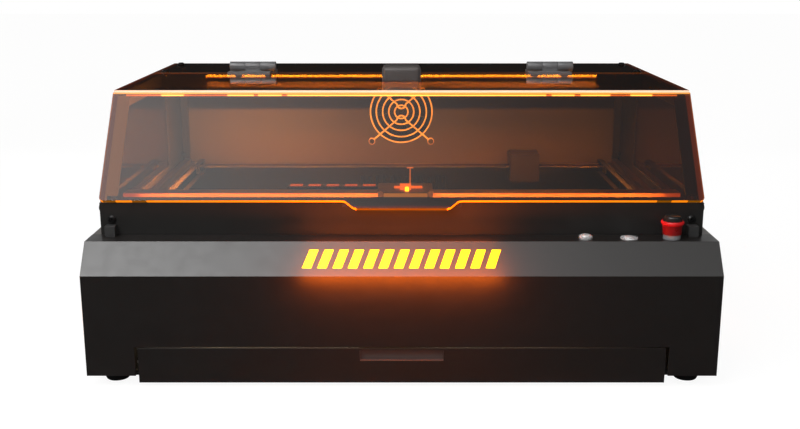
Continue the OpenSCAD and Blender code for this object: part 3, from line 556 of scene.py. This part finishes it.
lid_low, lid_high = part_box("lid_front_panel")
top_low, top_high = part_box("lid_top_panel")
rear_low, rear_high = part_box("rear_top_panel")
HALF = lid_high.x
SHEET = top_high.z - top_low.z
PANE_ROUND = 0.35 * MM
TAB_DROP = 9 * MM
TAB_HALF = 48 * MM
TAB_FLARE = 12 * MM
LIP_CORNER = 4 * MM
DIM_RUNS = ((-311, -297.6), (-280.8, -265.5))      # stretches of the lip left of the middle where its painted edge glow is dim, in mm
# Runs in mm of the painted reflection of the strip along the front pane's top edge.
CREST_RUNS = ((-263, -238), (-190.5, -161.5), (-157, -131), (-125, 158), (164, 189), (195.5, 228), (250, 274))
CLEAR, PAINTED_BRIGHT, PAINTED_DIM, TOP = range(4)         # the front pane's materials: sheet, then the painted glow of its edge: bright, dim and crest


def lid_plane():
    """The front panel's plane: its lower outer edge, its slope and its length, worked out from its box."""
    height = lid_high.z - lid_low.z
    depth = lid_high.y - lid_low.y
    # height = (L + tab) sin a + t cos a and depth = (L + tab) cos a + t sin a
    a = math.radians(45)
    for _ in range(60):
        length = (height - SHEET * math.cos(a)) / math.sin(a)
        error = length * math.cos(a) + SHEET * math.sin(a) - depth
        a += error * 2.0
    length = (height - SHEET * math.cos(a)) / math.sin(a) - TAB_DROP
    lip_y = lid_low.y + TAB_DROP * math.cos(a)
    lip_z = lid_low.z + SHEET * math.cos(a) + TAB_DROP * math.sin(a)
    return Vector((0, lip_y, lip_z)), a, length


LIP, SLOPE, PANEL = lid_plane()
ON_SLOPE = Matrix.Translation(LIP) @ Matrix.Rotation(SLOPE, 4, "X")


def lid_front():
    """The front pane: its cut lower edge carries painted glow in runs that mirror about the middle, dimmer at
    the tab.
    """
    tab = TAB_HALF + TAB_FLARE
    left = [(x * MM, 0) for run in DIM_RUNS for x in run]
    left += [(-tab - 3 * MM, 0), (-tab + 1 * MM, -0.6 * MM)]
    left += [(-TAB_HALF - 3 * MM, -TAB_DROP + 1.4 * MM), (-TAB_HALF + 1 * MM, -TAB_DROP)]
    outline = arc(-HALF + LIP_CORNER, LIP_CORNER, LIP_CORNER, 180, 270, 5)[:-1]
    outline += left + [(-x, y) for x, y in reversed(left)]
    outline += arc(HALF - LIP_CORNER, LIP_CORNER, LIP_CORNER, 270, 360, 5)[1:]
    outline += [(HALF, PANEL), (-HALF, PANEL)]

    def side(i):
        (x, y), (x2, y2) = outline[i], outline[(i + 1) % len(outline)]
        if min(y, y2) >= PANEL - 1e-9:
            return TOP
        if max(y, y2) <= -TAB_DROP + 1e-6 or max(abs(x), abs(x2)) >= HALF - 1e-6:
            return PAINTED_DIM
        middle = -abs(x + x2) / 2 / MM
        return PAINTED_DIM if any(start < middle < end for start, end in DIM_RUNS) else PAINTED_BRIGHT

    bm = bmesh.new()
    add_prism(bm, outline, -SHEET, 0, ON_SLOPE, side, CLEAR)
    piece("lid_front_pane", bm, [MATS["amber_acrylic"], EDGE_PAINTED_GLOW, EDGE_PAINTED_GLOW_DIM, EDGE_PAINTED_GLOW_TOP], "lid",
          ["lid_front_panel"], bevel=PANE_ROUND)


def crest_painted_reflection():
    """A painted reflection of the lit strip in the front pane's top edge: short bright runs with orange
    between them.
    """
    bright, spill = bmesh.new(), bmesh.new()
    for start, end in CREST_RUNS:
        add_box(bright, (start * MM, PANEL - 2.8 * MM, -SHEET - 0.12 * MM),
                (end * MM, PANEL - 1.0 * MM, -SHEET), ON_SLOPE)
    reach = HALF - 14 * MM
    add_box(spill, (-reach, PANEL - 3.0 * MM, -SHEET - 0.07 * MM),
            (reach, PANEL - 0.8 * MM, -SHEET), ON_SLOPE)
    piece("crest_runs_painted_reflection", bright, [glowing("crest_bright_painted_reflection", (1.0, 0.75, 0.25), 2.6)], "lid")
    piece("crest_spill_painted_reflection", spill, [glowing("crest_spill_painted_reflection", (0.75, 0.22, 0.02), 0.5)], "lid")


def flat_pane(name, low, high, body, node, front, other):
    """A level pane of the hood, with one painted glow on its front edge and another on the rest of its edge.
    """
    bm = bmesh.new()
    outline = [(low.x, low.y), (high.x, low.y), (high.x, high.y), (low.x, high.y)]
    add_prism(bm, outline, low.z, high.z, side_mat=lambda i: 1 if i == 0 else 2)
    mats = [MATS["amber_acrylic"], front, other]
    piece(name, bm, mats, body, [node], bevel=PANE_ROUND)


def side_panes():
    """Both fixed side windows, with the outline of the CAD's: a straight rear and a slanted front edge."""
    low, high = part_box("side_windows")
    inner = SHEET + 0.6 * MM            # the pane's front edge stands this far behind the lid's outer face
    top = high.z - 0.5 * MM
    step = rear_low.y + 1 * MM

    def slope_y(z):
        return LIP.y + inner / math.sin(SLOPE) + (z - LIP.z) / math.tan(SLOPE)

    def slope_z(y):
        return LIP.z + (y - LIP.y - inner / math.sin(SLOPE)) * math.tan(SLOPE)

    outline = [(low.y, low.z), (low.y, slope_z(low.y)), (slope_y(top), top), (step, top), (step, high.z),
               (high.y, high.z), (high.y, low.z)]
    to_yz = Matrix(((0, 0, 1, 0), (1, 0, 0, 0), (0, 1, 0, 0), (0, 0, 0, 1)))
    bm = bmesh.new()
    for x in ((-HALF, -HALF + SHEET), (HALF - SHEET, HALF)):
        add_prism(bm, outline, x[0], x[1], to_yz, lambda i: 1)
    # The panes' cut edges carry a dark painted glow.
    piece("side_panes", bm, [MATS["amber_acrylic"], EDGE_PAINTED_GLOW_DARK], "chassis", ["side_windows"],
          bevel=PANE_ROUND)


def led_bar():
    """A lit strip in a dark channel: a bright upper band of small square lights over an orange band of
    painted glow for their spill.
    """
    low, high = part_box("led_strip")
    back = high.y - 0.6 * MM
    spill_low, spill_high = low.z + 3.2 * MM, low.z + 4.6 * MM
    lights_high = low.z + 6.9 * MM
    bm = bmesh.new()
    add_box(bm, (low.x, back, low.z), (high.x, high.y, high.z), mat=1)
    add_box(bm, (low.x, low.y + 0.3 * MM, spill_low), (high.x, back, spill_high), mat=2)
    count = int((high.x - low.x) / (8 * MM))
    for i in range(count):
        x = low.x + (i + 0.5) * (high.x - low.x) / count
        add_box(bm, (x - 3.7 * MM, low.y, spill_high), (x + 3.7 * MM, back, lights_high))
    spill = glowing("led_spill_painted_glow", (1.0, 0.28, 0.03), 1.1)
    bar = piece("led_bar", bm, [MATS["led_light"], MATS["dark_frame"], spill], "chassis",
                ["led_strip"], bevel=0.2 * MM)
    bar.visible_diffuse = False


POD_CORNER = 6 * MM
VENT_PITCH = 6.5 * MM


def camera_cover():
    """The camera pod: a rounded box with four pairs of slanted vents in its top, which carry a painted
    highlight.
    """
    low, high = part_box("camera_pod")
    w, d, h = high.x - low.x, high.y - low.y, high.z - low.z
    cx, cy = centre_of("camera_pod")
    bm = bmesh.new()

    def ring(inset, z):
        hx, hy, r = w / 2 - inset, d / 2 - inset, max(1.5 * MM, POD_CORNER - inset)
        points = []
        for sx, sy, a in ((1, 1, 0), (-1, 1, 90), (-1, -1, 180), (1, -1, 270)):
            points += arc(cx + sx * (hx - r), cy + sy * (hy - r), r, a, a + 90, 6)
        return [bm.verts.new((x, y, low.z + z)) for x, y in points]

    # The inset in millimetres at each share of the height.
    shoulder = ((0.0, 0.0), (0.0, 0.72), (0.8, 0.86), (2.2, 0.96), (4, 1))
    rings = [ring(inset * MM, share * h) for inset, share in shoulder]
    for lower, upper in zip(rings, rings[1:]):
        n = len(lower)
        for k in range(n):
            bm.faces.new((lower[k], lower[(k + 1) % n], upper[(k + 1) % n], upper[k]))
    bm.faces.new(rings[0])
    bm.faces.new(rings[-1])
    piece("camera_cover", bm, [MATS["pod_plastic"]], "lid", ["camera_pod"], smooth=50)
    bm = bmesh.new()
    for row in range(4):
        y = cy + (row - 1.5) * VENT_PITCH
        for side in (-1, 1):
            inner, outer = cx + side * 4 * MM, cx + side * 15 * MM
            outline = [(inner, y - 1.2 * MM), (outer, y - 2.6 * MM),
                       (outer, y - 0.4 * MM), (inner, y + 1.0 * MM)]
            add_prism(bm, outline[::side], high.z - 0.35 * MM, high.z - 0.02 * MM)
    # Painted highlight on the vents.
    shine = glowing("vent_painted_highlight", (0.9, 0.88, 0.85), 0.8, base=(0.8, 0.8, 0.8))
    piece("camera_vents", bm, [shine], "lid", bevel=0.1 * MM)


# Controls ------------------------------------------------------------------------------------------------

FLUTES = 24
GRIP_HEIGHT = 12.2          # the middle of the knob's fluted rim, in millimetres


def flutes(a, radius, z):
    """Shallow finger grips round the widest part of the stop's rim."""
    grip = max(0.0, 1 - abs(z / MM - GRIP_HEIGHT) / 1.6) if radius > 11.4 * MM else 0.0
    return 1 - 0.012 * grip * (0.5 + 0.5 * math.cos(FLUTES * a))


def stop_knob():
    """The emergency stop's head: a slim red body, a thin fluted rim in a lighter red as a painted highlight,
    and a raised black cap in the middle.
    """
    low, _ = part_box("estop_head")
    x, y = centre_of("estop_head")
    place = Matrix.Translation((x, y, low.z))
    body = [(4.3, 6.2), (9.1, 6.2), (9.1, 0), (9.6, 0), (9.7, 5.5), (10.1, 8.4), (10.7, 10.0)]
    rim = [(10.7, 10.0), (11.5, 10.8), (11.9, 11.6), (11.9, 12.9), (11.4, 13.9), (10.5, 14.3), (9.6, 14.0)]
    cap = [(9.6, 14.0), (9.4, 17.2), (8.8, 18.9), (7.5, 19.6), (0, 19.8)]
    bm = bmesh.new()
    for mat, profile in enumerate((body, rim, cap)):
        add_lathe(bm, [(q * MM, z * MM) for q, z in profile], place, 6 * FLUTES, mat, flutes)
    piece("stop_knob", bm, [MATS["stop_red"], RIM_RED_PAINTED_HIGHLIGHT, MATS["rocker_plastic"]], "stop_head",
          ["estop_head"], smooth=50)


def push_button(name, node, body, rise):
    """A polished button whose crown is domed by the given rise."""
    low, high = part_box(node)
    x, y = centre_of(node)
    r = (high.x - low.x) / 2
    h = high.z - low.z
    profile = [(0, 0), (r * 0.96, 0), (r, 0.4 * MM), (r, h - rise)]
    for a in range(12, 90, 12):
        profile.append((r * math.cos(math.radians(a)), h - rise + rise * math.sin(math.radians(a))))
    profile.append((0, h))
    bm = bmesh.new()
    add_lathe(bm, profile, Matrix.Translation((x, y, low.z)), 64)
    piece(name, bm, [MATS["button_chrome"]], body, [node], smooth=50)


# Laser head ----------------------------------------------------------------------------------------------

FIN_COUNT = 11


def head_housing():
    """The diode laser's body: a core with fins on both sides, a cap, a base and a front plate with painted
    light.
    """
    low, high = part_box("laser_head")
    core, fin = 5 * MM, 6 * MM
    cap_z = high.z - 3 * MM
    base_z = low.z + 4 * MM
    bm = bmesh.new()
    add_box(bm, (low.x + core, low.y + 1.2 * MM, low.z), (high.x - core, high.y, cap_z))
    pitch = (high.y - low.y) / FIN_COUNT
    for i in range(FIN_COUNT):
        y = low.y + (i + 0.22) * pitch
        for x in (low.x, high.x - fin):
            add_box(bm, (x, y, base_z), (x + fin, y + 0.5 * pitch, cap_z))
    add_box(bm, (low.x, low.y + 1.3 * MM, cap_z), (high.x, high.y, high.z))
    add_box(bm, (low.x, low.y, low.z), (high.x, high.y, base_z))
    add_box(bm, (low.x + 1 * MM, low.y, low.z + 10 * MM),
            (high.x - 1 * MM, low.y + 1.3 * MM, high.z - 0.8 * MM), mat=1)
    piece("head_housing", bm, [MATS["head_metal"], HEAD_FACE_PAINTED_LIGHT], "head", ["laser_head"],
          bevel=0.3 * MM)


def head_fittings():
    """What stands on the head: its connector, a small status light and the focus probe; the connector and
    probe glow with painted light.
    """
    cx, cy = centre_of("laser_head")
    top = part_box("laser_head")[1].z
    bm = bmesh.new()
    add_box(bm, (cx - 6 * MM, cy - 5 * MM, top), (cx + 6 * MM, cy + 6 * MM, top + 5 * MM))
    add_box(bm, (cx - 12 * MM, cy + 3 * MM, top), (cx + 18 * MM, cy + 8 * MM, top + 2 * MM))
    # The connector's orange is painted light.
    shine = glowing("connector", (1.0, 0.4, 0.05), 1.1, base=(0.6, 0.2, 0.08))
    piece("head_connector", bm, [shine], "head", bevel=0.4 * MM)
    bm = bmesh.new()
    add_lathe(bm, [(0, 0), (2.1 * MM, 0), (2.1 * MM, 3.4 * MM), (1.4 * MM, 4.2 * MM), (0, 4.4 * MM)],
              Matrix.Translation((cx + 1.5 * MM, cy - 9 * MM, top)), 24)
    piece("head_light", bm, [glowing("head_lamp", (1.0, 0.7, 0.05), 7.0)], "head")
    bm = bmesh.new()
    add_lathe(bm, [(0, 0), (0.55 * MM, 0), (0.55 * MM, 22 * MM), (0, 22 * MM)],
              Matrix.Translation((cx + 5 * MM, cy + 10 * MM, top)), 12)
    add_box(bm, (cx + 1.5 * MM, cy + 9.4 * MM, top + 20.6 * MM),
            (cx + 8.5 * MM, cy + 10.6 * MM, top + 21.8 * MM))
    # The probe's shine is a painted highlight.
    shine = glowing("probe_painted_highlight", (1.0, 0.5, 0.1), 0.7, base=(0.5, 0.5, 0.5))
    piece("focus_probe", bm, [shine], "head", bevel=0.1 * MM)


# Lamps ---------------------------------------------------------------------------------------------------

HALO_COUNT = 17
HALO_REACH = 0.094
HALO_RED = (1.0, 0.16, 0.004)
LAMP_AMBER = (1.0, 0.8, 0.5)


def sign_lamps():
    """The sign's halo: a row of red points in front of it, and two narrow lamps over it."""
    low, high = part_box("light_sign")
    for i in range(HALO_COUNT):
        x = (2 * i / (HALO_COUNT - 1) - 1) * HALO_REACH
        lamp(f"sign_halo_{i}", "POINT", (x, low.y - 15 * MM, low.z + 1 * MM), 0.17, 9 * MM, HALO_RED)
    lamp("deck_halo", "AREA", (0, low.y + 16 * MM, high.z + 13 * MM), 0.15, (0.19, 0.004), HALO_RED,
         aim=(0, low.y + 50 * MM, high.z - 2 * MM))
    lamp("bar_halo", "AREA", (0, low.y - 2 * MM, high.z + 4 * MM), 0.35, (0.195, 0.012), HALO_RED,
         aim=(0, (low.y + high.y) / 2, (low.z + high.z) / 2))


def hood_lamps():
    """The glow inside the hood, strongest at the left."""
    strip_low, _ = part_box("led_strip")
    y = strip_low.y - 3 * MM
    lamp("strip_glow", "AREA", (0, y, strip_low.z - 3 * MM), 3.0, (0.5, 0.01), (1.0, 0.6, 0.3),
         aim=(0, y + 0.03, strip_low.z - 0.10), spread=120)
    for name, x, power in (("left", -0.2, 0.27), ("middle", 0.0, 0.13), ("right", 0.2, 0.065)):
        lamp(f"wall_wash_{name}", "AREA", (x, 0.03, 0.195), power, (0.2, 0.05), (1.0, 0.92, 0.7),
             aim=(x, 0.19, 0.200), spread=80)
        lamp(f"bed_wash_{name}", "AREA", (x, 0.0, 0.272), power * 22.0, (0.2, 0.16), LAMP_AMBER,
             aim=(x, -0.01, 0.1), spread=60)
    lamp("side_wash", "AREA", (-0.17, -0.04, 0.215), 2.5, (0.16, 0.05), LAMP_AMBER,
         aim=(-0.31, -0.05, 0.215), spread=120)
    lamp("front_wash", "AREA", (0, -0.198, 0.174), 1.0, (0.54, 0.005), (1.0, 0.62, 0.4),
         aim=(0, -0.15, 0.173), spread=60)


make_camera()
make_world()
make_floor()
make_cards()
dress_cad()
lid_front()
crest_painted_reflection()
# The level panes' cut edges carry painted glow, with a pale painted highlight on the top pane's front edge.
flat_pane("lid_top_pane", top_low, top_high, "lid", "lid_top_panel", EDGE_PAINTED_GLOW_PALE, EDGE_PAINTED_GLOW_DIM)
flat_pane("rear_top_pane", rear_low, rear_high, "chassis", "rear_top_panel", EDGE_PAINTED_GLOW_DIM, EDGE_PAINTED_GLOW_DIM)
side_panes()
led_bar()
camera_cover()
stop_knob()
push_button("start_dome", "start_button", "start", 1.5 * MM)
push_button("mode_dome", "mode_button", "mode", 0.9 * MM)
head_housing()
head_fittings()
sign_lamps()
hood_lamps()
